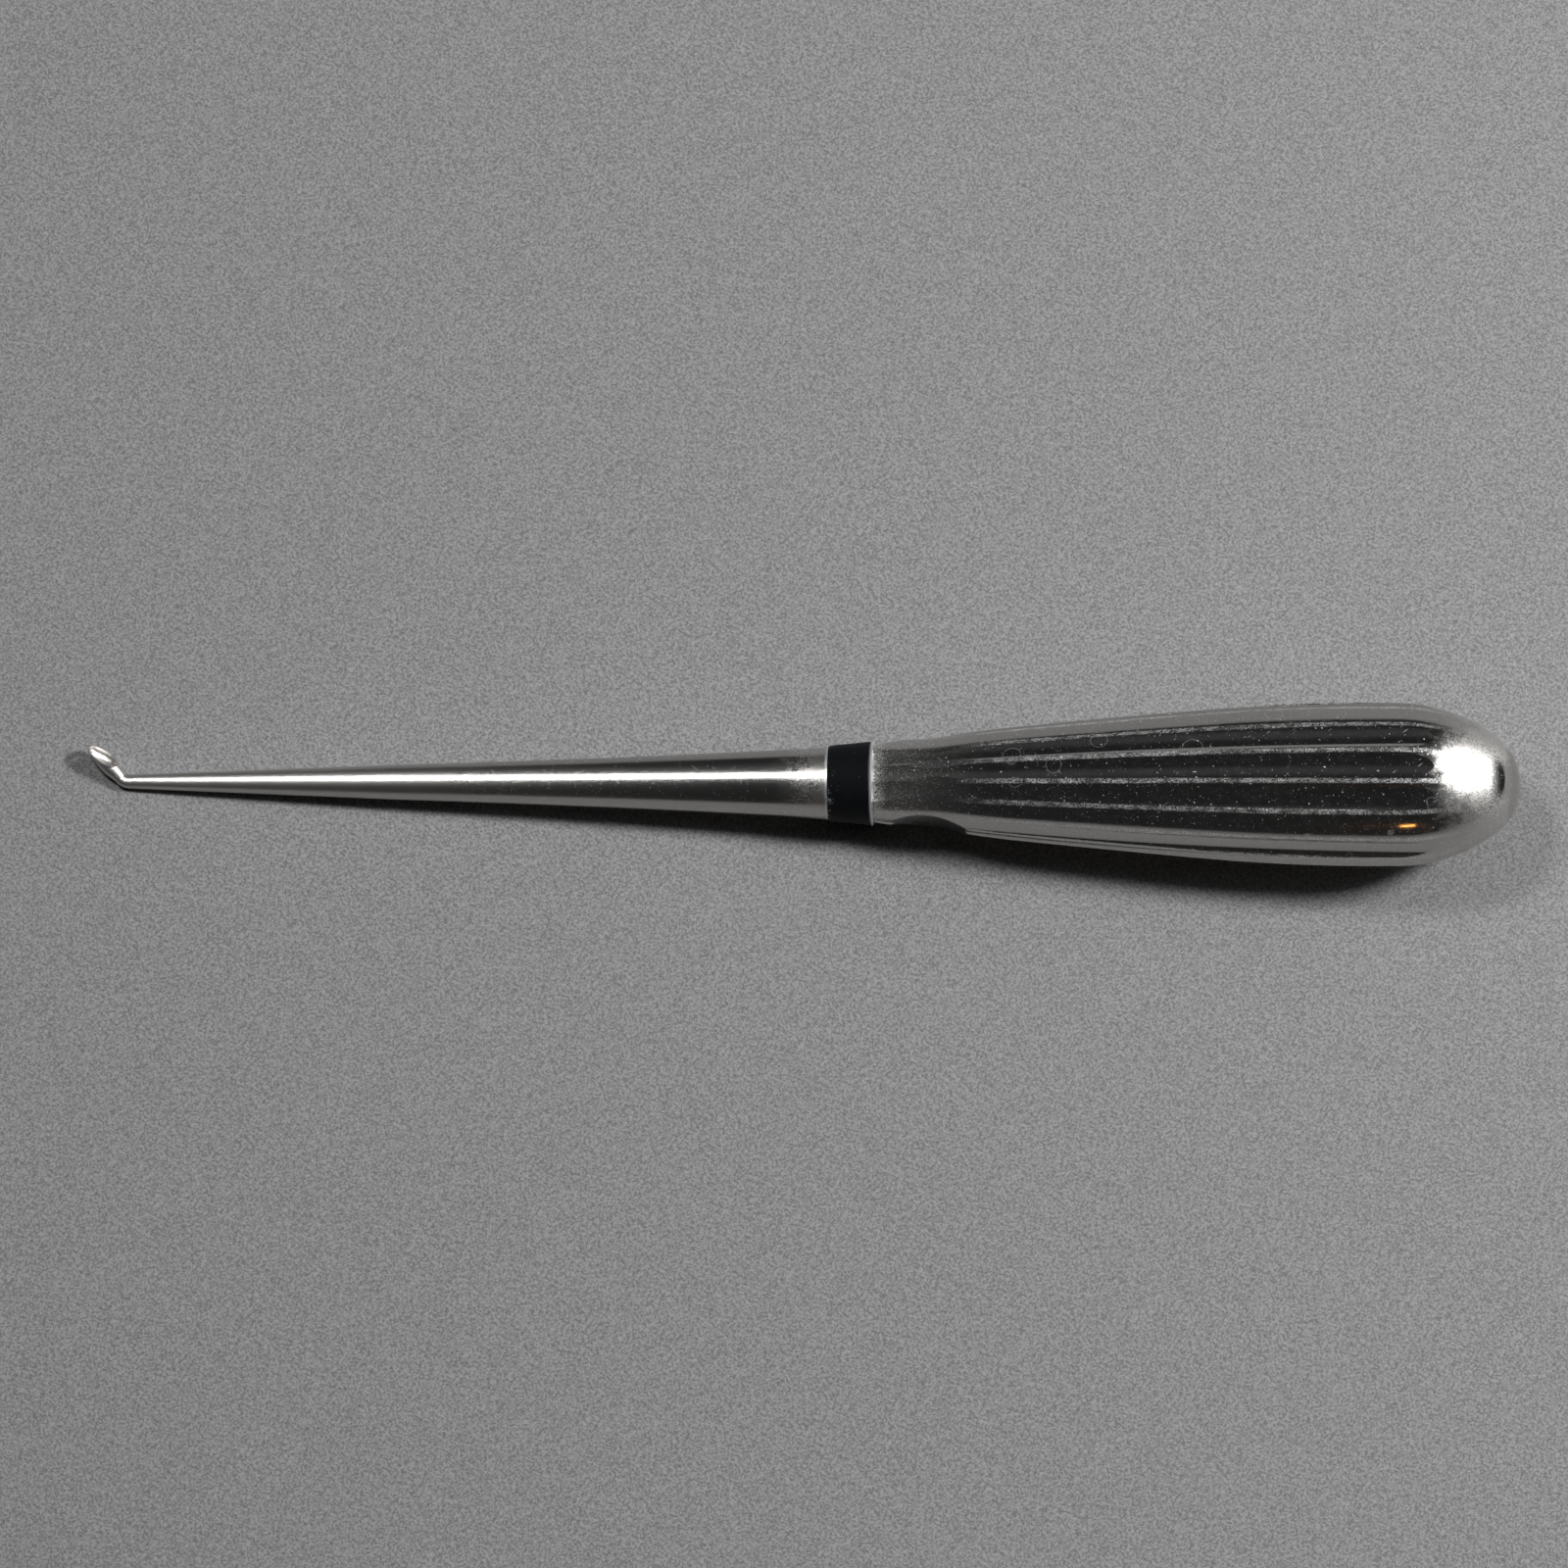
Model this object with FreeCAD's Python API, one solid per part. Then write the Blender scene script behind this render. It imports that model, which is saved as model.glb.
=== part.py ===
import FreeCAD, Part
import math
import os

from FreeCAD import Vector

# Spinal curette: a tapered shank with a bent neck and a scraping cup, set in a hollow fluted handle.
# It is modelled with its axis along +X and the start of the bend at the origin, then laid down as it
# comes to rest, on the heel of the bend and the belly of the handle. Sizes are in millimetres and
# angles in degrees.

# Shank, from the start of the bend to its seat on the handle
SHANK_LENGTH = 112.3
SHANK_TIP_RADIUS = 1.05
SHANK_SEAT_RADIUS = 6.08
# Shares of the shank's length and of its growth in radius where the slender taper ends, then along
# the two hollow arcs that widen it towards the handle
TAPER_CURVE = [(0.363, 0.32), (0.624, 0.521), (0.885, 0.793), (0.94, 0.873)]

# Spigot on the shank, inside the handle's neck
SPIGOT_RADIUS = 4.4
SPIGOT_LENGTH = 16.0
SPIGOT_CHAMFER = 0.6
SPIGOT_CLEARANCE = 0.05
BORE_END_GAP = 1.0

# Bent neck between the shank and the cup; the roll turns the bend up from the side
BEND_ANGLE = 46.5
BEND_RADIUS = 1.86
BEND_ROLL = 22.0
BEND_SECTIONS = 5
NECK_RADIUS = 0.93

# Olive that the neck swells into past the bend, with its middle and the short cone that leads to it
OLIVE_RADIUS = 1.25
OLIVE_LENGTH = 7.0
OLIVE_STATION = 2.8
LEAD_LENGTH = 2.0
LEAD_END_RADIUS = 1.2

# Cup: an oval bowl in the olive, from a start past the bend, its rim lifted off the neck's own line,
# rolled about it from the inside of the bend and tilted towards the tip
CUP_LENGTH = 5.4
CUP_WIDTH = 2.85
CUP_DEPTH = 1.05
CUP_RIM = 0.22
CUP_HOLLOW_DEPTH = 1.2
CUP_START = 1.5
CUP_RISE = 0.6
CUP_ROLL = -36.0
CUP_TILT = 17.0

# Handle outline, from its seat to its butt
HANDLE_LENGTH = 97.4
HANDLE_NECK_LENGTH = 6.4
HANDLE_FRONT_RADIUS = 6.34
HANDLE_NECK_RADIUS = 6.58
BELLY_RADIUS = 12.24
BELLY_LENGTH = 4.95
DOME_LENGTH = 18.55
DOME_SHOULDER_RADIUS = 25.1
FRONT_CHAMFER = 0.25
# Shares of the flare's length and of its rise along the four arcs that make it, the first one hollow
FLARE_CURVE = [(0.0385, 0.0327), (0.077, 0.098), (0.154, 0.238), (0.231, 0.347),
               (0.424, 0.572), (0.619, 0.779), (0.81, 0.94)]

# Hollow of the handle, from the bore that holds the spigot: it widens over a knee to the belly, and
# narrows in the dome
KNEE_STATION = 34.0
KNEE_WALL = 1.8
BELLY_WALL = 1.6
BUTT_WALL = 1.8
HOLLOW_END_RADIUS = 3.5

# Flutes: a group on each side of the handle, with a plain land between the groups
FLUTE_GROUPS = 4
FLUTES_PER_GROUP = 3
FLUTE_PITCH = 22.5
FLUTE_ROUND = 4.1
RIDGE_WIDTH = 0.6
# Two stations on the flare, with the belly the third, where the ridges have that width
FLUTE_STATIONS = [18.3, 48.2]

# Finger scoop across one side of the handle's neck
SCOOP_RADIUS = 17.6
SCOOP_STATION = 6.9
SCOOP_FLOOR = 5.7

# Marking tape round the shank, against the handle
TAPE_WIDTH = 6.2
TAPE_THICKNESS = 0.2
TAPE_CLEARANCE = 0.05

# Fineness of the facets from which the resting pose is found
FACET_TOLERANCE = 0.01
REST_PASSES = 6

AXIS = Vector(1, 0, 0)
SIDEWAYS = Vector(0, 1, 0)
FORWARD = Vector(-1, 0, 0)
INWARD = Vector(0, math.cos(math.radians(BEND_ROLL)), math.sin(math.radians(BEND_ROLL)))

# Stations along the instrument
SEAT = SHANK_LENGTH
HANDLE_NECK_END = SEAT + HANDLE_NECK_LENGTH
BUTT = SEAT + HANDLE_LENGTH
BELLY_END = BUTT - DOME_LENGTH
BELLY = BELLY_END - BELLY_LENGTH
BORE_END = SEAT + SPIGOT_LENGTH + BORE_END_GAP
BORE_RADIUS = SPIGOT_RADIUS + SPIGOT_CLEARANCE


def line(*points):
    """Straight edges through (station, radius) points."""
    places = [Vector(station, 0, radius) for station, radius in points]
    return [Part.makeLine(start, end) for start, end in zip(places, places[1:])]


def arcs(points):
    """Arcs through (station, radius) points, each from one point through the next to the third."""
    places = [Vector(station, 0, radius) for station, radius in points]
    return [Part.Arc(*places[first:first + 3]).toShape() for first in range(0, len(places) - 2, 2)]


def between(start, end, shares):
    """Points at shares of the way and of the rise from one (station, radius) point to another."""
    run = end[0] - start[0]
    rise = end[1] - start[1]
    return [(start[0] + along * run, start[1] + up * rise) for along, up in shares]


def turned(edges, start, end):
    """A solid turned about the axis from the edges between two (station, radius) points."""
    outline = list(edges)
    for station, radius in (start, end):
        if radius > 0:
            outline += line((station, radius), (station, 0))
    outline += line((start[0], 0), (end[0], 0))
    face = Part.Face(Part.Wire(Part.__sortEdges__(outline)))
    return face.revolve(Vector(), AXIS, 360)


def shank_outline(skin=0.0):
    """The shank's outline, or that of a skin on it, with its two ends."""
    start = (0, SHANK_TIP_RADIUS + skin)
    end = (SEAT, SHANK_SEAT_RADIUS + skin)
    widening = between(start, end, TAPER_CURVE) + [end]
    return line(start, widening[0]) + arcs(widening), start, end


def flare_outline():
    """The handle's outline from the end of its neck to its belly."""
    start = (HANDLE_NECK_END, HANDLE_NECK_RADIUS)
    end = (BELLY, BELLY_RADIUS)
    return arcs([start] + between(start, end, FLARE_CURVE) + [end])


def dome_outline():
    """The butt: a wide arc off the belly, then one about the axis that it runs into smoothly."""
    wide = DOME_SHOULDER_RADIUS
    drop = wide - BELLY_RADIUS
    cap = (wide ** 2 - DOME_LENGTH ** 2 - drop ** 2) / (2 * (wide - DOME_LENGTH))
    lean = math.atan2(drop, DOME_LENGTH - cap)
    middle = (math.pi / 2 + lean) / 2
    cap_centre = BUTT - cap
    joint = (cap_centre + cap * math.cos(lean), cap * math.sin(lean))
    return arcs([
        (BELLY_END, BELLY_RADIUS),
        (BELLY_END + wide * math.cos(middle), wide * math.sin(middle) - drop),
        joint,
        (cap_centre + cap * math.cos(lean / 2), cap * math.sin(lean / 2)),
        (BUTT, 0),
    ])


def flare_radius(station):
    """The handle's radius at a station of its flare."""
    ray = Part.makeLine(Vector(station, 0, 0), Vector(station, 0, 2 * BELLY_RADIUS))
    crossed = min(flare_outline(), key=lambda edge: edge.distToShape(ray)[0])
    return crossed.distToShape(ray)[1][0][0].z


def bend_place(turn):
    """The neck's centre and direction where the bend has turned by an angle."""
    across = math.sin(math.radians(turn))
    ahead = math.cos(math.radians(turn))
    centre = FORWARD * (BEND_RADIUS * across) + INWARD * (BEND_RADIUS * (1 - ahead))
    return centre, FORWARD * ahead + INWARD * across


def make_neck():
    """A round bar that follows the bend and swells into an olive."""
    circles = []
    for section in range(BEND_SECTIONS):
        share = section / (BEND_SECTIONS - 1)
        centre, direction = bend_place(BEND_ANGLE * share)
        radius = SHANK_TIP_RADIUS + (NECK_RADIUS - SHANK_TIP_RADIUS) * share
        circles.append(Part.Wire(Part.Circle(centre, direction, radius).toShape()))
    bend = Part.makeLoft(circles, True)
    end, direction = bend_place(BEND_ANGLE)
    lead = Part.makeCone(NECK_RADIUS, LEAD_END_RADIUS, LEAD_LENGTH, end, direction)
    olive = ellipsoid(OLIVE_LENGTH, 2 * OLIVE_RADIUS, 2 * OLIVE_RADIUS)
    inner = bend_place(BEND_ANGLE + 90)[1]
    olive.Placement = placement(direction, inner, end + direction * OLIVE_STATION)
    return bend.fuse([lead, olive])


def ellipsoid(length, width, height):
    """An ellipsoid about the origin."""
    stretch = FreeCAD.Matrix()
    stretch.scale(length / 2, width / 2, height / 2)
    return Part.makeSphere(1).transformGeometry(stretch)


def placement(along, upright, centre):
    """Puts X along one direction and Z along another, about a centre."""
    side = upright.cross(along)
    columns = FreeCAD.Matrix(along.x, side.x, upright.x, centre.x,
                             along.y, side.y, upright.y, centre.y,
                             along.z, side.z, upright.z, centre.z)
    return FreeCAD.Placement(columns)


def turned_towards(first, second, angle):
    """A direction turned by an angle from one direction towards another at right angles to it."""
    return first * math.cos(math.radians(angle)) + second * math.sin(math.radians(angle))


def cup_placement():
    """Where the cup goes: X along its rim towards the tip, Z out of its opening."""
    end, along = bend_place(BEND_ANGLE)
    inner = bend_place(BEND_ANGLE + 90)[1]
    lift = turned_towards(inner, along.cross(inner), CUP_ROLL)
    centre = end + along * (CUP_LENGTH / 2 + CUP_START) + lift * CUP_RISE
    opening = turned_towards(lift, along, CUP_TILT)
    rim = turned_towards(along, -lift, CUP_TILT)
    return placement(rim, opening, centre)


def make_head():
    """The bent neck with its olive and the bowl's rim, all above the rim cut away, then hollowed."""
    place = cup_placement()
    bowl = ellipsoid(CUP_LENGTH, CUP_WIDTH, 2 * CUP_DEPTH)
    above = Part.makeBox(CUP_LENGTH, 2 * CUP_WIDTH, CUP_LENGTH, Vector(-CUP_LENGTH / 2, -CUP_WIDTH, 0))
    hollow = ellipsoid(CUP_LENGTH - 2 * CUP_RIM, CUP_WIDTH - 2 * CUP_RIM, 2 * CUP_HOLLOW_DEPTH)
    for shape in (bowl, above, hollow):
        shape.Placement = place
    return make_neck().fuse(bowl).cut([above, hollow])


def make_shaft():
    """The shank with its spigot, its bent neck and its cup, in one piece."""
    outline, start, seat = shank_outline()
    end = (SEAT + SPIGOT_LENGTH, SPIGOT_RADIUS - SPIGOT_CHAMFER)
    spigot = line(seat, (SEAT, SPIGOT_RADIUS), (end[0] - SPIGOT_CHAMFER, SPIGOT_RADIUS), end)
    shank = turned(outline + spigot, start, end)
    return shank.fuse(make_head()).removeSplitter()


def flute_floor(radius):
    """How far from the axis a flute's floor lies, so that the ridges beside it keep their width."""
    half_width = radius * math.sin(math.radians(FLUTE_PITCH / 2)) - RIDGE_WIDTH / 2
    chord = math.sqrt(radius ** 2 - half_width ** 2)
    return chord - (FLUTE_ROUND - math.sqrt(FLUTE_ROUND ** 2 - half_width ** 2))


def make_flute_cutter():
    """A round bar bent to one long arc, which hollows the flute at the top of the handle."""
    stations = [SEAT + station for station in FLUTE_STATIONS]
    places = [Vector(station, 0, flute_floor(flare_radius(station)) + FLUTE_ROUND) for station in stations]
    places.append(Vector(BELLY, 0, flute_floor(BELLY_RADIUS) + FLUTE_ROUND))
    bend = Part.Circle(*places)
    reach = [math.asin((station - bend.Center.x) / bend.Radius) for station in (SEAT, BUTT)]
    start = bend.Center + Vector(math.sin(reach[0]), 0, math.cos(reach[0])) * bend.Radius
    ahead = Vector(math.cos(reach[0]), 0, -math.sin(reach[0]))
    disc = Part.Face(Part.Wire(Part.Circle(start, ahead, FLUTE_ROUND).toShape()))
    return disc.revolve(bend.Center, SIDEWAYS, math.degrees(reach[1] - reach[0]))


def flute_angles():
    """The angles of the flutes about the axis, from +Z."""
    angles = []
    for group in range(FLUTE_GROUPS):
        for flute in range(FLUTES_PER_GROUP):
            offset = (flute - (FLUTES_PER_GROUP - 1) / 2) * FLUTE_PITCH
            angles.append(360 / FLUTE_GROUPS * group + offset)
    return angles


def make_handle():
    """The hollow handle with its bore, flutes and finger scoop."""
    front = (SEAT, HANDLE_FRONT_RADIUS - FRONT_CHAMFER)
    neck = line(front, (SEAT + FRONT_CHAMFER, HANDLE_FRONT_RADIUS), (HANDLE_NECK_END, HANDLE_NECK_RADIUS))
    belly = line((BELLY, BELLY_RADIUS), (BELLY_END, BELLY_RADIUS))
    solid = turned(neck + flare_outline() + belly + dome_outline(), front, (BUTT, 0))

    mouth = (SEAT, BORE_RADIUS)
    knee = (SEAT + KNEE_STATION, flare_radius(SEAT + KNEE_STATION) - KNEE_WALL)
    inside = BELLY_RADIUS - BELLY_WALL
    end = (BUTT - BUTT_WALL, HOLLOW_END_RADIUS)
    hollow = turned(line(mouth, (BORE_END, BORE_RADIUS), knee, (BELLY, inside), (BELLY_END, inside), end),
                    mouth, end)

    scoop_height = 4 * HANDLE_NECK_RADIUS
    scoop_centre = Vector(SEAT + SCOOP_STATION, -SCOOP_FLOOR - SCOOP_RADIUS, -scoop_height / 2)
    scoop = Part.makeCylinder(SCOOP_RADIUS, scoop_height, scoop_centre)
    cutters = [make_flute_cutter().rotated(Vector(), AXIS, angle) for angle in flute_angles()]
    return solid.cut([hollow, scoop] + cutters)


def make_tape():
    """A turn of tape that follows the shank's taper, its far edge close to the handle."""
    start = SEAT - TAPE_CLEARANCE - TAPE_WIDTH
    ring = Part.makeCylinder(2 * SHANK_SEAT_RADIUS, TAPE_WIDTH, Vector(start, 0, 0), AXIS)
    return ring.common(turned(*shank_outline(TAPE_THICKNESS))).cut(turned(*shank_outline()))


def facet_points(shape):
    """The corners of a shape's facets."""
    return shape.tessellate(FACET_TOLERANCE)[0]


def lay_down(head_end, shapes):
    """Turn the shapes about Y until the bend's heel and the handle's belly touch one level."""
    shaft, handle = shapes[:2]
    for _ in range(REST_PASSES):
        head = [point for point in facet_points(shaft) if point.x < head_end]
        heel = min(head, key=lambda point: point.z)
        belly = min(facet_points(handle), key=lambda point: point.z)
        lean = math.degrees(math.atan2(heel.z - belly.z, belly.x - heel.x))
        for shape in shapes:
            shape.rotate(Vector(), SIDEWAYS, -lean)
    box = FreeCAD.BoundBox()
    for shape in shapes:
        for point in facet_points(shape):
            box.add(point)
    for shape in shapes:
        shape.translate(Vector(-box.Center.x, -box.Center.y, -box.ZMin))


pieces = {"shaft_with_cup": make_shaft(), "handle_shell": make_handle(), "marking_tape": make_tape()}
lay_down(BEND_RADIUS, list(pieces.values()))

os.makedirs("parts", exist_ok=True)
for name, shape in pieces.items():
    shape.exportStep("parts/" + name + ".step")
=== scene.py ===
import math

import bpy
from mathutils import Matrix, Vector


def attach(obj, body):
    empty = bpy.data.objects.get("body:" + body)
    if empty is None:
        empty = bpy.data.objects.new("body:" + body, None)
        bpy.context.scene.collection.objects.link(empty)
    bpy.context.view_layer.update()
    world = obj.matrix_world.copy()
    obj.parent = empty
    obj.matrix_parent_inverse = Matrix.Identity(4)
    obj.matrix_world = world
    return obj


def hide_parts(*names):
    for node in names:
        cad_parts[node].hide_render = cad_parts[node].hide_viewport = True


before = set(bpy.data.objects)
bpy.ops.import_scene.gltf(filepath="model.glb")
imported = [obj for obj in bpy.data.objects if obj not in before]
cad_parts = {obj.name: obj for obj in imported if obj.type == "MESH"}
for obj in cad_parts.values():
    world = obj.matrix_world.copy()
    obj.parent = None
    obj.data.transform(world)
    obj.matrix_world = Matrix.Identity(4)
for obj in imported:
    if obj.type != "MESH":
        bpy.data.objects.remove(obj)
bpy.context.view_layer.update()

# Lengths are in millimetres until a mesh is made, and angles in degrees. Stations run along the
# instrument's axis from the start of the bend towards the butt
MM = 0.001

# Where the instrument's own axis lies in the frame
BEND_START = Vector((-101.4839, 0.0, 1.048))
LEAN = 3.5249

# Shank
SHANK_LENGTH = 112.3
SHANK_TIP_RADIUS = 1.05
SHANK_SEAT_RADIUS = 6.08
TAPER_CURVE = [(0.363, 0.32), (0.624, 0.521), (0.885, 0.793), (0.94, 0.873)]
SPIGOT_RADIUS = 4.4
SPIGOT_LENGTH = 16.0
SPIGOT_CHAMFER = 0.6

# Bent neck
BEND_ANGLE = 46.5
BEND_RADIUS = 1.86
BEND_ROLL = 22.0
BEND_STEPS = 12
NECK_RADIUS = 0.93

# Olive and cup
OLIVE_RADIUS = 1.25
OLIVE_LENGTH = 7.0
OLIVE_STATION = 2.8
LEAD_LENGTH = 2.0
LEAD_END_RADIUS = 1.2
CUP_LENGTH = 5.4
CUP_WIDTH = 2.85
CUP_DEPTH = 1.05
CUP_RIM = 0.22
CUP_HOLLOW_DEPTH = 1.2
CUP_START = 1.5
CUP_RISE = 0.6
CUP_ROLL = -36.0
CUP_TILT = 17.0

# Handle
HANDLE_LENGTH = 97.4
HANDLE_NECK_LENGTH = 6.4
HANDLE_FRONT_RADIUS = 6.34
HANDLE_NECK_RADIUS = 6.58
BELLY_RADIUS = 12.24
BELLY_LENGTH = 4.95
DOME_LENGTH = 18.55
DOME_SHOULDER_RADIUS = 25.1
FRONT_CHAMFER = 0.25
FLARE_CURVE = [(0.0385, 0.0327), (0.077, 0.098), (0.154, 0.238), (0.231, 0.347),
               (0.424, 0.572), (0.619, 0.779), (0.81, 0.94)]
BORE_RADIUS = 4.45
BORE_LENGTH = 17.0
KNEE = (34.0, 6.82)
HOLLOW_RADIUS = 10.64
BUTT_WALL = 1.8
HOLLOW_END_RADIUS = 3.5

# Flutes and finger scoop
FLUTE_GROUPS = 4
FLUTES_PER_GROUP = 3
FLUTE_PITCH = 22.5
FLUTE_ROUND = 4.1
RIDGE_WIDTH = 0.6
FLUTE_STATIONS = [18.3, 48.2]
SCOOP_RADIUS = 17.6
SCOOP_STATION = 6.9
SCOOP_FLOOR = 5.7
SCOOP_HEIGHT = 26.0

# Marking tape
TAPE_WIDTH = 6.2
TAPE_THICKNESS = 0.2
TAPE_CLEARANCE = 0.05

# Fineness of the meshes
STEPS_ROUND_SHANK = 160
STEPS_ROUND_HANDLE = 320
STEPS_ALONG_ARC = 14
RUN_STEP = 0.5
STEPS_ROUND_BAR = 96
STEPS_ALONG_BAR = 100
STEPS_ROUND_CUP = 96
STEPS_ALONG_TAPE = 4
MERGE = 1e-6

# Angles in degrees up to which two faces shade as one smooth surface
SMOOTH_ANGLE = 35
HANDLE_SMOOTH_ANGLE = 12

SEAT = SHANK_LENGTH
HANDLE_NECK_END = SEAT + HANDLE_NECK_LENGTH
BUTT = SEAT + HANDLE_LENGTH
BELLY_END = BUTT - DOME_LENGTH
BELLY = BELLY_END - BELLY_LENGTH
TAPE_START = SEAT - TAPE_CLEARANCE - TAPE_WIDTH

FORWARD = Vector((-1, 0, 0))
INWARD = Vector((0, math.cos(math.radians(BEND_ROLL)), math.sin(math.radians(BEND_ROLL))))


def circle_through(first, second, third):
    """The centre and radius of the circle through three (station, radius) points."""
    (ax, ay), (bx, by), (cx, cy) = first, second, third
    twice = 2 * (ax * (by - cy) + bx * (cy - ay) + cx * (ay - by))
    a, b, c = ax * ax + ay * ay, bx * bx + by * by, cx * cx + cy * cy
    x = (a * (by - cy) + b * (cy - ay) + c * (ay - by)) / twice
    y = (a * (cx - bx) + b * (ax - cx) + c * (bx - ax)) / twice
    return (x, y), math.hypot(ax - x, ay - y)


def arc(start, middle, end):
    """Points after the start, along the arc through the middle to the end."""
    (x, y), radius = circle_through(start, middle, end)
    angles = [math.atan2(point[1] - y, point[0] - x) for point in (start, end)]
    sweep = math.remainder(angles[1] - angles[0], 2 * math.pi)
    points = []
    for step in range(1, STEPS_ALONG_ARC + 1):
        angle = angles[0] + sweep * step / STEPS_ALONG_ARC
        points.append((x + radius * math.cos(angle), y + radius * math.sin(angle)))
    return points


def arcs(points):
    """The first point and all that follow it along arcs through each next pair."""
    outline = [points[0]]
    for first in range(0, len(points) - 2, 2):
        outline += arc(*points[first:first + 3])
    return outline


def run(start, end):
    """A straight line's points in short steps, both ends among them."""
    steps = math.ceil((end[0] - start[0]) / RUN_STEP)
    return between(start, end, [(step / steps, step / steps) for step in range(steps + 1)])


def between(start, end, shares):
    """Points at shares of the way and of the rise from one point to another."""
    length = end[0] - start[0]
    rise = end[1] - start[1]
    return [(start[0] + along * length, start[1] + up * rise) for along, up in shares]


def radius_at(outline, station):
    """An outline's radius at a station."""
    for (x0, r0), (x1, r1) in zip(outline, outline[1:]):
        if x0 <= station <= x1 and x1 > x0:
            return r0 + (r1 - r0) * (station - x0) / (x1 - x0)
    return outline[-1][1]


def shank_outline():
    """The shank's outline from the start of the bend to its seat."""
    start = (0, SHANK_TIP_RADIUS)
    end = (SEAT, SHANK_SEAT_RADIUS)
    return [start] + arcs(between(start, end, TAPER_CURVE) + [end])


def flare_outline():
    """The handle's outline from the end of its neck to its belly."""
    start = (HANDLE_NECK_END, HANDLE_NECK_RADIUS)
    end = (BELLY, BELLY_RADIUS)
    return arcs([start] + between(start, end, FLARE_CURVE) + [end])


def dome_outline():
    """The butt's outline: a wide arc off the belly, then one about the axis."""
    wide = DOME_SHOULDER_RADIUS
    drop = wide - BELLY_RADIUS
    cap = (wide ** 2 - DOME_LENGTH ** 2 - drop ** 2) / (2 * (wide - DOME_LENGTH))
    lean = math.atan2(drop, DOME_LENGTH - cap)
    middle = (math.pi / 2 + lean) / 2
    cap_centre = BUTT - cap
    return arcs([
        (BELLY_END, BELLY_RADIUS),
        (BELLY_END + wide * math.cos(middle), wide * math.sin(middle) - drop),
        (cap_centre + cap * math.cos(lean), cap * math.sin(lean)),
        (cap_centre + cap * math.cos(lean / 2), cap * math.sin(lean / 2)),
        (BUTT, 0),
    ])


def start_piece():
    """Clears the selection, so that the next primitive is alone."""
    if bpy.context.object and bpy.context.object.mode != "OBJECT":
        bpy.ops.object.mode_set(mode="OBJECT")
    bpy.ops.object.select_all(action="DESELECT")


def tidy_shell():
    """Merges seams and poles and turns the faces outwards, in edit mode."""
    bpy.ops.mesh.select_all(action="SELECT")
    bpy.ops.mesh.remove_doubles(threshold=MERGE)
    bpy.ops.mesh.normals_make_consistent(inside=False)


def turn_outline(name, outline, steps, closed=False):
    """Extrudes one vertex along an outline and spins it round the axis."""
    start_piece()
    bpy.ops.mesh.primitive_plane_add(size=MM)
    piece = bpy.context.object
    piece.name = name
    bpy.ops.object.mode_set(mode="EDIT")
    bpy.ops.mesh.merge(type="CENTER")
    bpy.ops.transform.translate(value=(outline[0][0] * MM, 0, outline[0][1] * MM))
    path = outline + outline[:1] if closed else outline
    for here, there in zip(path, path[1:]):
        move = ((there[0] - here[0]) * MM, 0, (there[1] - here[1]) * MM)
        bpy.ops.mesh.extrude_region_move(TRANSFORM_OT_translate={"value": move})
    bpy.ops.mesh.select_all(action="SELECT")
    bpy.ops.mesh.spin(steps=steps, angle=2 * math.pi, center=(0, 0, 0), axis=(1, 0, 0))
    tidy_shell()
    return piece


def combine(piece, other, operation):
    """Cuts another shape out of a piece or joins it on, and removes the other shape."""
    modifier = piece.modifiers.new(operation.lower(), "BOOLEAN")
    modifier.operation = operation
    modifier.solver = "EXACT"
    modifier.object = other
    start_piece()
    bpy.context.view_layer.objects.active = piece
    piece.select_set(True)
    bpy.ops.object.modifier_apply(modifier=modifier.name)
    bpy.data.objects.remove(other)


def lay_down(piece, smooth_angle):
    """Puts a finished piece where the instrument rests, with its place in its mesh."""
    start_piece()
    bpy.context.view_layer.objects.active = piece
    piece.select_set(True)
    piece.rotation_euler = (0, -math.radians(LEAN), 0)
    piece.location = BEND_START * MM
    bpy.ops.object.transform_apply(location=True, rotation=True, scale=True)
    bpy.ops.object.shade_smooth_by_angle(angle=math.radians(smooth_angle))


def bend_place(turn):
    """The neck's centre and direction where the bend has turned by an angle."""
    across = math.sin(math.radians(turn))
    ahead = math.cos(math.radians(turn))
    centre = FORWARD * (BEND_RADIUS * across) + INWARD * (BEND_RADIUS * (1 - ahead))
    return centre, FORWARD * ahead + INWARD * across


def frame_at(along, upright, centre):
    """Puts X along one direction and Z along another, about a centre."""
    turn = Matrix((along, upright.cross(along), upright)).transposed().to_4x4()
    return Matrix.Translation(centre * MM) @ turn


def turned_towards(first, second, angle):
    """A direction turned by an angle from one direction towards another at right angles to it."""
    return first * math.cos(math.radians(angle)) + second * math.sin(math.radians(angle))


def olive_place():
    """Where the olive goes: X along the bent neck."""
    end, along = bend_place(BEND_ANGLE)
    return frame_at(along, bend_place(BEND_ANGLE + 90)[1], end + along * OLIVE_STATION)


def cup_place():
    """Where the cup goes: X along its rim towards the tip, Z out of its opening."""
    end, along = bend_place(BEND_ANGLE)
    inner = bend_place(BEND_ANGLE + 90)[1]
    lift = turned_towards(inner, along.cross(inner), CUP_ROLL)
    centre = end + along * (CUP_LENGTH / 2 + CUP_START) + lift * CUP_RISE
    opening = turned_towards(lift, along, CUP_TILT)
    rim = turned_towards(along, -lift, CUP_TILT)
    return frame_at(rim, opening, centre)


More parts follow.
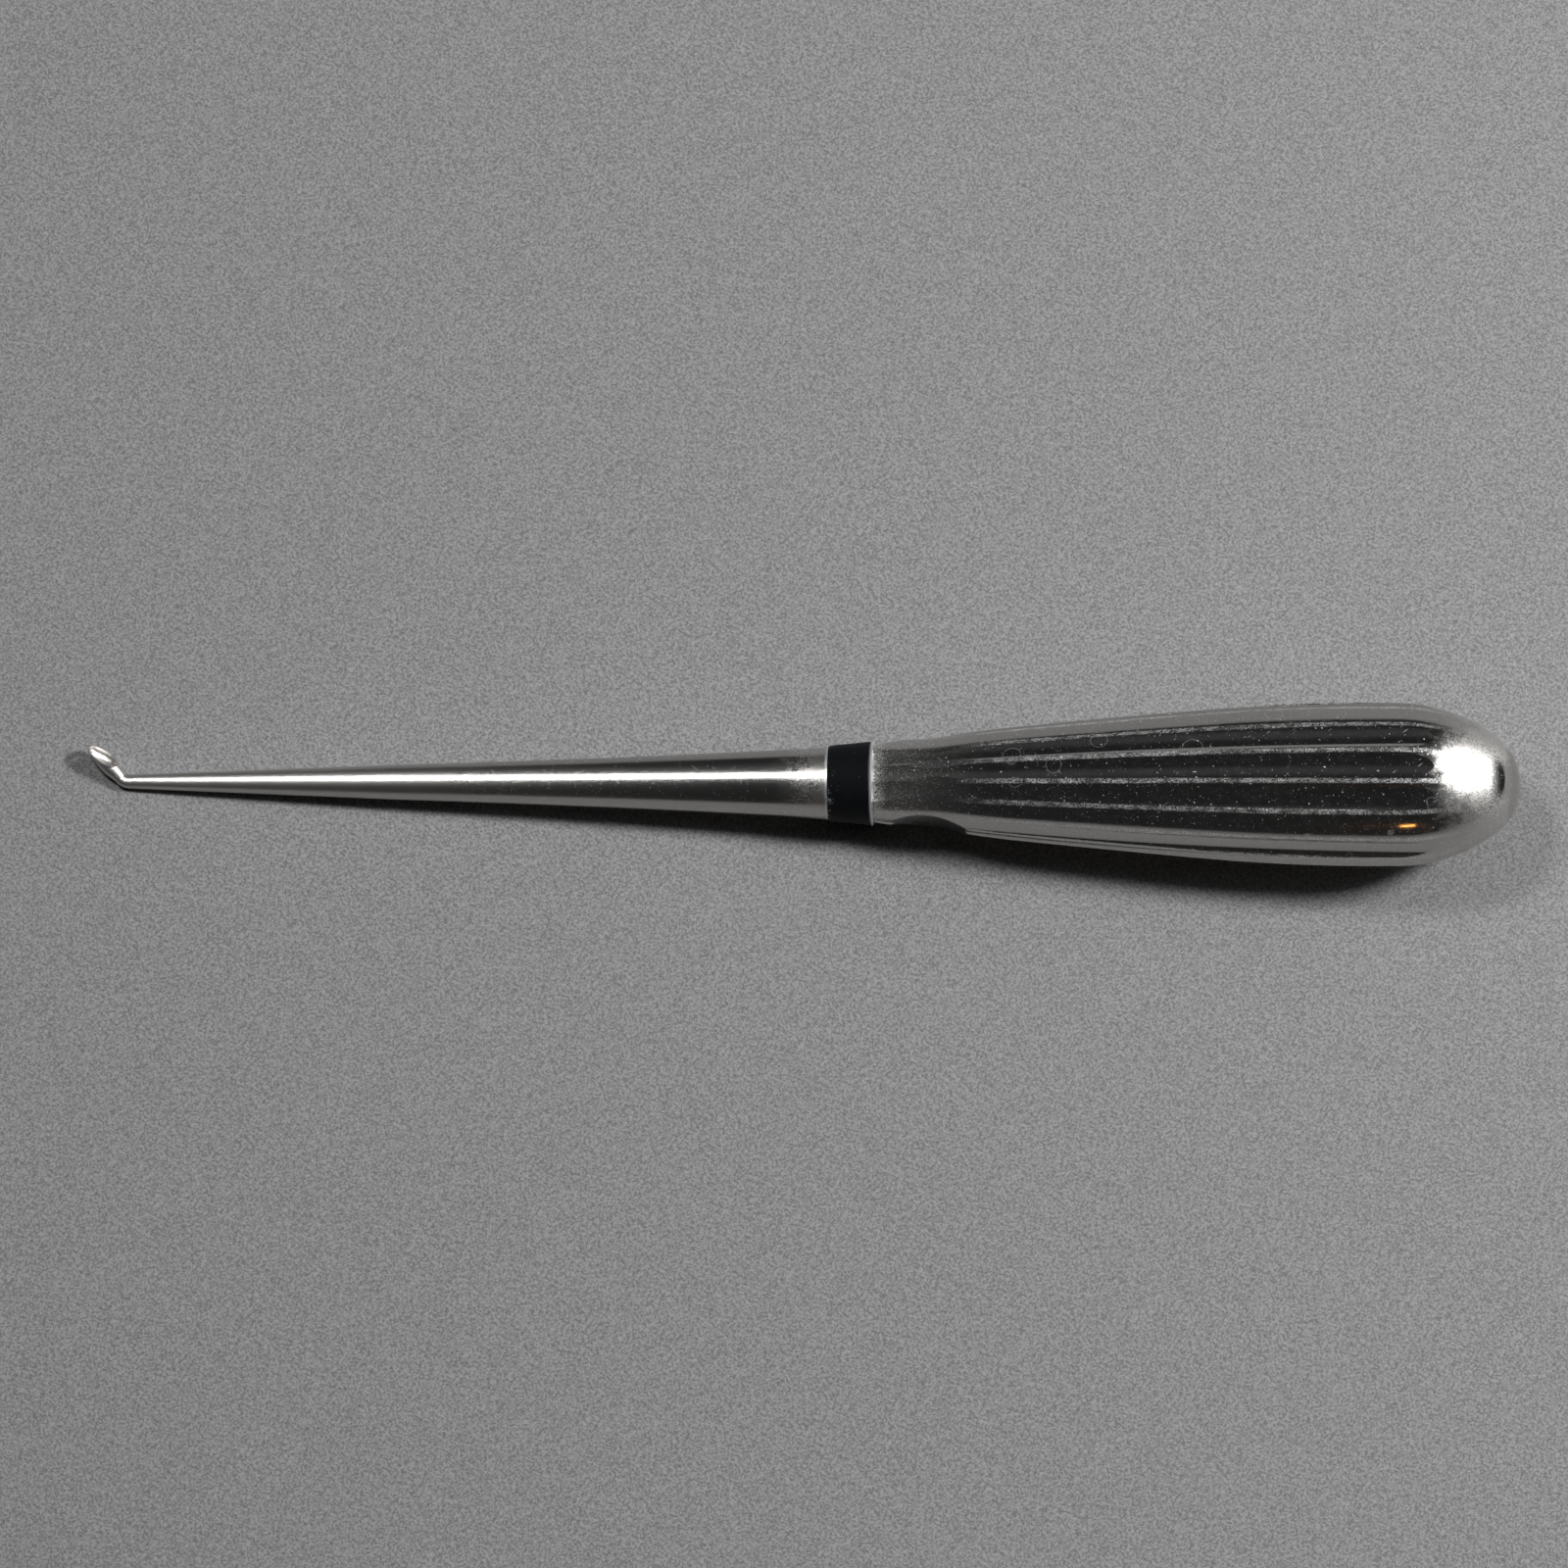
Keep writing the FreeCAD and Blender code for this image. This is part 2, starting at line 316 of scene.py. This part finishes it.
def egg(size, place):
    """An ellipsoid of a length, width and height in a place."""
    start_piece()
    bpy.ops.mesh.primitive_uv_sphere_add(
        segments=STEPS_ROUND_CUP, ring_count=STEPS_ROUND_CUP // 2, radius=MM)
    shape = bpy.context.object
    bpy.ops.object.mode_set(mode="EDIT")
    bpy.ops.transform.resize(value=[extent / 2 for extent in size])
    bpy.ops.object.mode_set(mode="OBJECT")
    shape.matrix_world = place
    return shape


def block_above_rim():
    """The block that cuts away all that stands above the cup's rim."""
    start_piece()
    bpy.ops.mesh.primitive_cube_add(size=MM)
    shape = bpy.context.object
    bpy.ops.object.mode_set(mode="EDIT")
    bpy.ops.transform.resize(value=(CUP_LENGTH, 2 * CUP_WIDTH, CUP_LENGTH))
    bpy.ops.transform.translate(value=(0, 0, CUP_LENGTH / 2 * MM))
    bpy.ops.object.mode_set(mode="OBJECT")
    shape.matrix_world = cup_place()
    return shape


def grow_neck():
    """Carries the shank's open end round the bend and on into the olive, in edit mode."""
    bpy.ops.mesh.select_all(action="DESELECT")
    bpy.ops.mesh.select_non_manifold(extend=False, use_wire=False, use_multi_face=False)
    pivot = INWARD * BEND_RADIUS * MM
    radius = SHANK_TIP_RADIUS
    for step in range(1, BEND_STEPS + 1):
        wanted = SHANK_TIP_RADIUS + (NECK_RADIUS - SHANK_TIP_RADIUS) * step / BEND_STEPS
        bpy.ops.mesh.spin(steps=1, angle=math.radians(BEND_ANGLE / BEND_STEPS), center=pivot,
                          axis=INWARD.cross(FORWARD))
        centre = bend_place(BEND_ANGLE * step / BEND_STEPS)[0] * MM
        ratio = wanted / radius
        bpy.ops.transform.resize(value=(ratio, ratio, ratio), center_override=centre)
        radius = wanted
    end, along = bend_place(BEND_ANGLE)
    bpy.ops.mesh.extrude_region_move(TRANSFORM_OT_translate={"value": along * LEAD_LENGTH * MM})
    ratio = LEAD_END_RADIUS / NECK_RADIUS
    bpy.ops.transform.resize(value=(ratio, ratio, ratio), center_override=(end + along * LEAD_LENGTH) * MM)
    bpy.ops.mesh.edge_face_add()


def make_shaft():
    """The shank with its spigot, neck and cup."""
    end = SEAT + SPIGOT_LENGTH
    spigot = [(SEAT, SPIGOT_RADIUS), (end - SPIGOT_CHAMFER, SPIGOT_RADIUS),
              (end, SPIGOT_RADIUS - SPIGOT_CHAMFER), (end, 0)]
    piece = turn_outline("shaft_and_cup", shank_outline() + spigot, STEPS_ROUND_SHANK)
    grow_neck()
    tidy_shell()
    bpy.ops.object.mode_set(mode="OBJECT")
    combine(piece, egg((OLIVE_LENGTH, 2 * OLIVE_RADIUS, 2 * OLIVE_RADIUS), olive_place()), "UNION")
    combine(piece, egg((CUP_LENGTH, CUP_WIDTH, 2 * CUP_DEPTH), cup_place()), "UNION")
    combine(piece, block_above_rim(), "DIFFERENCE")
    hollow = (CUP_LENGTH - 2 * CUP_RIM, CUP_WIDTH - 2 * CUP_RIM, 2 * CUP_HOLLOW_DEPTH)
    combine(piece, egg(hollow, cup_place()), "DIFFERENCE")
    lay_down(piece, SMOOTH_ANGLE)
    return piece


def flute_floor(radius):
    """How far from the axis a flute's floor lies where the handle has a radius."""
    half_width = radius * math.sin(math.radians(FLUTE_PITCH / 2)) - RIDGE_WIDTH / 2
    chord = math.sqrt(radius ** 2 - half_width ** 2)
    return chord - (FLUTE_ROUND - math.sqrt(FLUTE_ROUND ** 2 - half_width ** 2))


def flute_bar(angle):
    """A round bar bent to one long arc, which hollows a flute."""
    flare = flare_outline()
    places = [(SEAT + station, flute_floor(radius_at(flare, SEAT + station)) + FLUTE_ROUND)
              for station in FLUTE_STATIONS]
    places.append((BELLY, flute_floor(BELLY_RADIUS) + FLUTE_ROUND))
    (x, z), bend = circle_through(*places)
    reach = [math.asin((station - x) / bend) for station in (SEAT, BUTT)]
    start = ((x + bend * math.sin(reach[0])) * MM, 0, (z + bend * math.cos(reach[0])) * MM)
    start_piece()
    bpy.ops.mesh.primitive_circle_add(vertices=STEPS_ROUND_BAR, radius=FLUTE_ROUND * MM, location=start,
                                      rotation=(0, math.pi / 2 + reach[0], 0))
    bar = bpy.context.object
    bpy.ops.object.transform_apply(location=True, rotation=True, scale=True)
    bpy.ops.object.mode_set(mode="EDIT")
    bpy.ops.mesh.select_all(action="SELECT")
    bpy.ops.mesh.spin(steps=STEPS_ALONG_BAR, angle=reach[1] - reach[0],
                      center=(x * MM, 0, z * MM), axis=(0, -1, 0))
    bpy.ops.mesh.select_all(action="DESELECT")
    bpy.ops.mesh.select_non_manifold(extend=False, use_wire=False, use_multi_face=False)
    bpy.ops.mesh.fill_holes(sides=0)
    tidy_shell()
    bpy.ops.object.mode_set(mode="OBJECT")
    bar.rotation_euler = (math.radians(angle), 0, 0)
    return bar


def scoop_roller():
    """The upright roller that leaves the finger scoop across the handle's neck."""
    start_piece()
    bpy.ops.mesh.primitive_cylinder_add(
        vertices=2 * STEPS_ROUND_HANDLE, radius=SCOOP_RADIUS * MM, depth=SCOOP_HEIGHT * MM,
        location=((SEAT + SCOOP_STATION) * MM, -(SCOOP_FLOOR + SCOOP_RADIUS) * MM, 0))
    return bpy.context.object


def make_handle():
    """The hollow handle with its bore, flutes and finger scoop."""
    inside = [(BUTT - BUTT_WALL, 0), (BUTT - BUTT_WALL, HOLLOW_END_RADIUS), (BELLY_END, HOLLOW_RADIUS),
              (BELLY, HOLLOW_RADIUS), (SEAT + KNEE[0], KNEE[1]), (SEAT + BORE_LENGTH, BORE_RADIUS),
              (SEAT, BORE_RADIUS)]
    front = [(SEAT, HANDLE_FRONT_RADIUS - FRONT_CHAMFER)]
    neck = run((SEAT + FRONT_CHAMFER, HANDLE_FRONT_RADIUS), (HANDLE_NECK_END, HANDLE_NECK_RADIUS))
    belly = run((BELLY, BELLY_RADIUS), (BELLY_END, BELLY_RADIUS))
    outline = inside + front + neck[:-1] + flare_outline() + belly[1:-1] + dome_outline()
    piece = turn_outline("handle", outline, STEPS_ROUND_HANDLE)
    bpy.ops.object.mode_set(mode="OBJECT")
    for group in range(FLUTE_GROUPS):
        for flute in range(FLUTES_PER_GROUP):
            offset = (flute - (FLUTES_PER_GROUP - 1) / 2) * FLUTE_PITCH
            combine(piece, flute_bar(360 / FLUTE_GROUPS * group + offset), "DIFFERENCE")
    combine(piece, scoop_roller(), "DIFFERENCE")
    lay_down(piece, HANDLE_SMOOTH_ANGLE)
    return piece


def make_tape():
    """The ring of tape on the shank, against the handle."""
    shank = shank_outline()
    under = [TAPE_START + TAPE_WIDTH * step / STEPS_ALONG_TAPE for step in range(STEPS_ALONG_TAPE + 1)]
    lower = [(station, radius_at(shank, station)) for station in under]
    upper = [(station, radius + TAPE_THICKNESS) for station, radius in reversed(lower)]
    piece = turn_outline("tape", lower + upper, STEPS_ROUND_HANDLE, closed=True)
    bpy.ops.object.mode_set(mode="OBJECT")
    lay_down(piece, SMOOTH_ANGLE)
    return piece


class Signal:
    """A number that changes over a surface, from a socket of a node tree."""

    def __init__(self, nodes, socket):
        self.nodes = nodes
        self.socket = socket

    def math(self, operation, *values):
        return self.nodes.node("ShaderNodeMath", {"operation": operation}, dict(enumerate(values)))

    def __add__(self, other):
        return self.math("ADD", self, other)

    __radd__ = __add__

    def __sub__(self, other):
        return self.math("SUBTRACT", self, other)

    def __rsub__(self, other):
        return self.math("SUBTRACT", other, self)

    def __mul__(self, other):
        return self.math("MULTIPLY", self, other)

    __rmul__ = __mul__

    def __truediv__(self, other):
        return self.math("DIVIDE", self, other)

    def __abs__(self):
        return self.math("ABSOLUTE", self)

    def highest(self, other):
        return self.math("MAXIMUM", self, other)

    def step(self, low, high):
        """0 at the low value and 1 at the high one, smooth between them."""
        return self.nodes.node("ShaderNodeMapRange", {"interpolation_type": "SMOOTHSTEP"},
                               {"Value": self, "From Min": low, "From Max": high})


# The mix node's numbered sockets for a factor, two colours and the colour between them
MIX_FACTOR, MIX_FIRST, MIX_SECOND, MIX_COLOUR = 0, 6, 7, 2


class Nodes:
    """A node tree that is built one node at a time."""

    def __init__(self, tree):
        self.tree = tree

    def node(self, kind, settings, values, output=0):
        """A node with its settings made first, then the values or links of its sockets."""
        node = self.tree.nodes.new(kind)
        for name, setting in settings.items():
            setattr(node, name, setting)
        for name, value in values.items():
            if isinstance(value, Signal):
                self.tree.links.new(value.socket, node.inputs[name])
            else:
                node.inputs[name].default_value = value
        return Signal(self, node.outputs[output])

    def parts(self, vector):
        """The X, Y and Z of a vector."""
        first = self.node("ShaderNodeSeparateXYZ", {}, {"Vector": vector})
        return [Signal(self, socket) for socket in first.socket.node.outputs]


class Finish(Nodes):
    """A material in the instrument's own coordinates."""

    def __init__(self, name):
        self.material = bpy.data.materials.new(name)
        self.material.use_nodes = True
        super().__init__(self.material.node_tree)
        self.shader = self.tree.nodes["Principled BSDF"]
        seen = self.node("ShaderNodeTexCoord", {}, {}, "Object")
        back = Matrix.Rotation(math.radians(LEAN), 3, "Y")
        self.place = self.node("ShaderNodeMapping", {}, {
            "Vector": seen, "Location": -(back @ BEND_START) * MM, "Rotation": (0, math.radians(LEAN), 0)})

    def stretched(self, scale, turn=(0, 0, 0)):
        """The instrument's coordinates turned, then stretched to a number of repeats a millimetre."""
        turned = self.node("ShaderNodeMapping", {}, {
            "Vector": self.place, "Rotation": [math.radians(angle) for angle in turn]})
        return self.node("ShaderNodeMapping", {}, {
            "Vector": turned, "Scale": [repeats / MM for repeats in scale]})

    def noise(self, scale, turn=(0, 0, 0), detail=2.0, roughness=0.5):
        """Noise with a number of repeats a millimetre along each of its turned axes."""
        return self.node("ShaderNodeTexNoise", {}, {
            "Vector": self.stretched(scale, turn), "Scale": 1.0, "Detail": detail, "Roughness": roughness})

    def axes(self):
        """Station along the axis, distance from it and angle round it from the top, in mm and degrees."""
        x, y, z = self.parts(self.place)
        squared = y * y + z * z
        radius = squared.math("SQRT", squared) / MM
        angle = y.math("ARCTAN2", y, z) * math.degrees(1)
        return x / MM, radius, angle

    def mix(self, factor, first, second):
        """A colour between two colours."""
        sockets = {MIX_FACTOR: factor, MIX_FIRST: first, MIX_SECOND: second}
        return self.node("ShaderNodeMix", {"data_type": "RGBA"}, sockets, MIX_COLOUR)

    def bump(self, height, distance, strength):
        """A normal from a height, with its full depth in millimetres."""
        return self.node("ShaderNodeBump", {}, {
            "Height": height, "Distance": distance * MM, "Strength": strength})

    def set(self, name, value):
        if isinstance(value, Signal):
            self.tree.links.new(value.socket, self.shader.inputs[name])
        else:
            self.shader.inputs[name].default_value = value


# Finishes
STEEL = (0.49, 0.475, 0.455, 1)
SCUFFED_STEEL = (0.74, 0.745, 0.75, 1)
TAPE_BLACK = (0.003, 0.0038, 0.005, 1)
RUBBED_TAPE = (0.35, 0.36, 0.37, 1)
SHANK_ROUGHNESS = 0.16
HANDLE_ROUGHNESS = 0.08
TAPE_ROUGHNESS = 0.5
TAPE_SPECULAR = 0.12
FLOOR_ROUGHNESS = 0.9
SCRATCH_SOFTNESS = 0.04
# How far full wear takes the steel from metal towards a dull surface
SHANK_DULLING = 0.5
HANDLE_DULLING = 0.6
# Stations at which the finishes come in or fade
SHANK_SCUFFS = (SEAT - 15, SEAT - 8)
RESIDUE_STATION = TAPE_START - 0.2
FRONT_EDGE = (SEAT + 0.3, SEAT + 0.8)
NECK_RESIDUE = (SEAT + 1, SEAT + 3.5)
NECK_FLECKS = (SEAT + 2, SEAT + 20)
RIDGES_START = (SEAT + 10, SEAT + 22)
RIDGES_END = (BELLY_END + 2, BELLY_END + 12)
WORN_DOME = (BELLY_END - 9, BELLY_END + 5)
POLISHED_TIP = (BUTT - 1.7, BUTT - 0.2)
RUBBED_EDGE = (TAPE_START, TAPE_START + 1.4)
# How far from the middle of a ridge its scuffing fades, and where the dome's polished spot is
RIDGE_FADE = (0.22, 0.52)
SPOT_STATION = BUTT - 2.4
SPOT_ANGLE = -6
# Ring marks: cells a millimetre, and a ring's radius and line in cells
RING_CELLS = 0.16
RING_RADIUS = 0.24
RING_LINE = (0.004, 0.016)


def scratch_layer(finish, across, along, turn, threshold):
    """Short straight scratches, where a stretched noise passes a threshold."""
    lines = finish.noise((along, across, across), turn, detail=0.0)
    return lines.step(threshold, threshold + SCRATCH_SOFTNESS)


def polished_shank():
    """Bright steel with short scratches, scuffed near the tape."""
    finish = Finish("polished shank steel")
    station = finish.axes()[0]
    cloud = finish.noise((0.35, 0.35, 0.35), detail=3.0)
    speckle = finish.noise((5.0, 5.0, 5.0), detail=3.0, roughness=0.8)
    patches = finish.noise((0.7, 0.7, 0.7), detail=2.0)
    near_tape = (station + patches * 6 - 3).step(*SHANK_SCUFFS)
    flecks = speckle.step(0.52, 0.60) * near_tape
    hairs = scratch_layer(finish, 9.0, 0.5, (0, 20, 35), 0.80).highest(
        scratch_layer(finish, 9.0, 0.6, (0, -10, -50), 0.81))
    residue = (1 - abs(station - RESIDUE_STATION).step(0.08, 0.25)) * speckle.step(0.40, 0.50)
    wear = (flecks * 0.45).highest(hairs * 0.5).highest(residue)
    slender = 1 - station.step(-10, SEAT)
    finish.set("Metallic", 1 - wear * SHANK_DULLING)
    finish.set("Base Color", finish.mix(wear, STEEL, SCUFFED_STEEL))
    finish.set("Roughness",
               SHANK_ROUGHNESS + slender * 0.20 + cloud * 0.03 + near_tape * 0.10 + wear * 0.22)
    return finish.material


def handled_steel():
    """Bright steel with grainy ridges, ring marks in the flutes, a speckled neck and a worn dome."""
    finish = Finish("handled steel")
    station, radius, angle = finish.axes()
    cloud = finish.noise((0.25, 0.25, 0.25), detail=3.0)
    speckle = finish.noise((5.0, 5.0, 5.0), detail=3.0, roughness=0.8)
    fine = finish.noise((7.0, 7.0, 7.0), detail=1.0)
    patches = finish.noise((0.5, 0.7, 0.7), detail=3.0, roughness=0.6)

    # Ridges lie half a pitch either side of each flute
    turns = angle / FLUTE_PITCH + 0.5
    beside = abs(turns - turns.math("ROUND", turns)) * math.radians(FLUTE_PITCH) * radius
    on_flutes = station.step(*RIDGES_START) * (1 - station.step(*RIDGES_END))
    grains = (speckle * 0.5 + fine * 0.5).step(0.45, 0.56) * (0.4 + patches.step(0.35, 0.60) * 0.6)
    ridge = (1 - beside.step(*RIDGE_FADE)) * on_flutes * grains

    hairs = scratch_layer(finish, 8.0, 0.5, (0, 15, 40), 0.82).highest(
        scratch_layer(finish, 9.0, 0.6, (0, 0, -35), 0.82)).highest(
        scratch_layer(finish, 8.0, 0.7, (30, 60, 80), 0.83))
    dots = finish.noise((3.2, 3.2, 3.2), detail=0.0).step(0.80, 0.85)
    haze = fine.step(0.50, 0.75) * patches.step(0.35, 0.65)

    # Ring marks are slices of thin spheres scattered through the surface
    cells = finish.stretched((RING_CELLS, RING_CELLS, RING_CELLS))
    distance = finish.node("ShaderNodeTexVoronoi", {}, {
        "Vector": cells, "Scale": 1.0, "Randomness": 0.8}, "Distance")
    cell_colour = Signal(finish, distance.socket.node.outputs["Color"])
    chosen = finish.node("ShaderNodeSeparateColor", {}, {"Color": cell_colour})
    circle = 1 - abs(distance - RING_RADIUS).step(*RING_LINE)
    ring_marks = circle * chosen.step(0.35, 0.4) * speckle.step(0.35, 0.55) * on_flutes

    near_neck = 1 - station.step(*NECK_FLECKS)
    at_front = 1 - station.step(*FRONT_EDGE)
    flecks = speckle.step(0.58, 0.66) * near_neck
    near_butt = (station - patches * 12 - speckle * 5).step(*WORN_DOME)
    polished_end = (station + patches * 1.6).step(*POLISHED_TIP)
    # One polished spot is left on top of the worn dome
    along_spot = abs(station + patches - SPOT_STATION).step(0.2, 2.4)
    spot = (1 - along_spot) * (1 - abs(angle - SPOT_ANGLE).step(2, 34))
    residue = (1 - station.step(*NECK_RESIDUE)) * speckle.step(0.46, 0.56)

    wear = ridge
    for mark, weight in ((hairs, 0.8), (dots, 1.0), (flecks, 0.75), (ring_marks, 0.35), (haze, 0.14),
                         (at_front, 0.8), (residue, 0.7), (near_neck, 0.10)):
        wear = wear.highest(mark * weight)
    finish.set("Metallic", 1 - wear * HANDLE_DULLING)
    finish.set("Base Color", finish.mix(wear, STEEL, SCUFFED_STEEL))
    unpolished = (1 - polished_end * 0.6) * (1 - spot * 0.9)
    worn_end = near_butt * unpolished * (0.24 + speckle.step(0.35, 0.65) * 0.34)
    roughness = HANDLE_ROUGHNESS + cloud * 0.04 + near_neck * 0.08 + wear * 0.36
    finish.set("Roughness", roughness.highest(worn_end))
    return finish.material


def black_tape():
    """Semi-matt black film with one rubbed edge and a few pale specks."""
    finish = Finish("black marking tape")
    station = finish.axes()[0]
    cloud = finish.noise((0.6, 0.6, 0.6), detail=3.0)
    speckle = finish.noise((3.0, 3.0, 3.0), detail=3.0, roughness=0.7)
    near_edge = 1 - station.step(*RUBBED_EDGE)
    specks = speckle.step(0.71, 0.74)
    rubbed = (near_edge * speckle.step(0.48, 0.6) * cloud.step(0.52, 0.6)).highest(specks)
    finish.set("Base Color", finish.mix(rubbed, TAPE_BLACK, RUBBED_TAPE))
    finish.set("Roughness", TAPE_ROUGHNESS + cloud * 0.15)
    finish.set("Specular IOR Level", TAPE_SPECULAR)
    finish.set("Normal", finish.bump(cloud + rubbed * 0.4, 0.03, 0.3))
    return finish.material


def dress(piece, node, material):
    """Gives a piece its material, hangs it under the root body and hides the CAD node that it stands for.
    """
    piece.data.materials.clear()
    piece.data.materials.append(material)
    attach(piece, "root")
    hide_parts(node)


# Floor, lamps and surroundings, in metres
FLOOR_SIZE = 6.0
FLOOR_DARK = (0.17, 0.17, 0.172, 1)
FLOOR_LIGHT = (0.42, 0.42, 0.424, 1)
LAMP_DISTANCE = 1.0
# Each lamp's direction from the instrument, its size and its strength
HEAD_LAMP = {"towards": (-0.36, 0.300, 1.0), "size": (0.17, 0.17), "strength": 38.0}
BUTT_LAMP = {"towards": (1.05, 0.22, 1.0), "size": (0.17, 0.17), "strength": 80.0}
# The long softbox over the shank and the glow beyond the butt, which show in reflections only
SHANK_CARD = {"height": 0.15, "span_x": (-0.17, -0.033), "span_y": (0.020, 0.050),
              "strength": 26.0}
BUTT_GLOW = {"towards": (1.0, 0.34, 1.0), "size": (0.62, 0.20), "strength": 42.0}
# A warm lamp low in front, which shows as a small glint on the dome
WARM_LAMP = {"towards": (0.20, -0.94, 0.28), "size": (0.13, 0.045), "strength": 6.0,
             "colour": (1.0, 0.42, 0.10)}
# The room's colour, and its strength all round, high up at the back and on the wall beyond the butt
ROOM_COLOUR = (0.93, 0.97, 1.0, 1)
ROOM_GLOW = 0.022
ABOVE_GLOW = 0.04
WALL_GLOW = 0.4


def floor_material():
    """A grey floor with a fine grain and a few pale specks."""
    finish = Finish("pale floor")
    grain = finish.noise((2.6, 2.6, 2.6), (20, 15, 35), detail=3.0, roughness=0.9)
    specks = finish.noise((2.2, 2.2, 2.2), (35, 25, 10), detail=0.0).step(0.82, 0.88)
    colour = finish.mix((grain.step(0.38, 0.62) + specks * 1.6) * 0.93, FLOOR_DARK, FLOOR_LIGHT)
    finish.set("Base Color", colour)
    finish.set("Roughness", FLOOR_ROUGHNESS)
    return finish.material


def make_floor():
    """The floor under the instrument, which is no part of the model."""
    start_piece()
    bpy.ops.mesh.primitive_plane_add(size=FLOOR_SIZE)
    floor = bpy.context.object
    floor.name = "floor"
    floor.data.materials.append(floor_material())


def make_lamp(towards, size, strength, colour=(1.0, 1.0, 1.0)):
    """A softbox that faces the instrument from some way off."""
    direction = Vector(towards).normalized()
    start_piece()
    bpy.ops.object.light_add(type="AREA", location=direction * LAMP_DISTANCE)
    lamp = bpy.context.object
    lamp.data.shape = "RECTANGLE"
    lamp.data.size, lamp.data.size_y = size
    lamp.data.energy = strength * math.pi * size[0] * size[1]
    lamp.data.color = colour
    lamp.rotation_euler = direction.to_track_quat("Z", "Y").to_euler()
    return lamp


def make_card(lit_piece, height, span_x, span_y, strength):
    """A long softbox that lights one piece alone."""
    start_piece()
    bpy.ops.object.light_add(type="AREA", location=(sum(span_x) / 2, sum(span_y) / 2, height))
    card = bpy.context.object
    card.data.shape = "RECTANGLE"
    card.data.size = span_x[1] - span_x[0]
    card.data.size_y = span_y[1] - span_y[0]
    card.data.energy = strength * math.pi * card.data.size * card.data.size_y
    card.visible_diffuse = False
    card.visible_camera = False
    lit_pieces = bpy.data.collections.new("lit by the long softbox")
    lit_pieces.objects.link(lit_piece)
    card.light_linking.receiver_collection = lit_pieces


def make_surroundings():
    """A dark room with a dim wall beyond the butt, which shows in reflections only."""
    world = bpy.data.worlds.new("studio")
    world.use_nodes = True
    world.cycles_visibility.diffuse = False
    bpy.context.scene.world = world
    room = Nodes(world.node_tree)
    x, y, z = room.parts(room.node("ShaderNodeTexCoord", {}, {}, "Generated"))
    # Both places are marked out by the parts of a direction
    above = y.step(0.1, 0.5) * z.step(0.4, 0.8)
    wall = x.step(0.30, 0.75) * z.step(0.16, 0.40) * (1 - z.step(0.75, 0.95)) * y.step(-0.85, -0.35)
    strength = ROOM_GLOW + ABOVE_GLOW * above + WALL_GLOW * wall
    background = room.tree.nodes["Background"]
    background.inputs["Color"].default_value = ROOM_COLOUR
    room.tree.links.new(strength.socket, background.inputs["Strength"])


# Camera, in degrees and metres, with its sensor in millimetres
CAMERA_ELEVATION = 76.0
CAMERA_YAW = 1.02
CAMERA_DISTANCE = 1.2
SEEN_WIDTH = 0.236
SEEN_CENTRE = Vector((-0.0024, -0.00014, 0.00717))
SENSOR_WIDTH = 36
CLIP_START = 0.01
CLIP_END = 50


def make_camera():
    """The camera, nearly overhead."""
    elevation = math.radians(CAMERA_ELEVATION)
    yaw = math.radians(CAMERA_YAW)
    level = Vector((math.sin(yaw), -math.cos(yaw), 0)) * math.cos(elevation)
    towards = level + Vector((0, 0, math.sin(elevation)))
    data = bpy.data.cameras.new("camera")
    camera = bpy.data.objects.new("camera", data)
    bpy.context.scene.collection.objects.link(camera)
    camera.location = SEEN_CENTRE + towards * CAMERA_DISTANCE
    camera.rotation_euler = towards.to_track_quat("Z", "Y").to_euler()
    data.sensor_width = SENSOR_WIDTH
    data.lens = SENSOR_WIDTH * CAMERA_DISTANCE / SEEN_WIDTH
    data.clip_start = CLIP_START
    data.clip_end = CLIP_END
    bpy.context.scene.camera = camera


shaft = make_shaft()
handle = make_handle()
tape = make_tape()
dress(shaft, "shaft_with_cup", polished_shank())
dress(handle, "handle_shell", handled_steel())
dress(tape, "marking_tape", black_tape())
make_floor()
make_lamp(**HEAD_LAMP).visible_glossy = False
make_lamp(**BUTT_LAMP)
make_lamp(**BUTT_GLOW).visible_diffuse = False
make_lamp(**WARM_LAMP).visible_diffuse = False
make_card(shaft, **SHANK_CARD)
make_surroundings()
make_camera()
bpy.context.scene.view_settings.view_transform = "Standard"
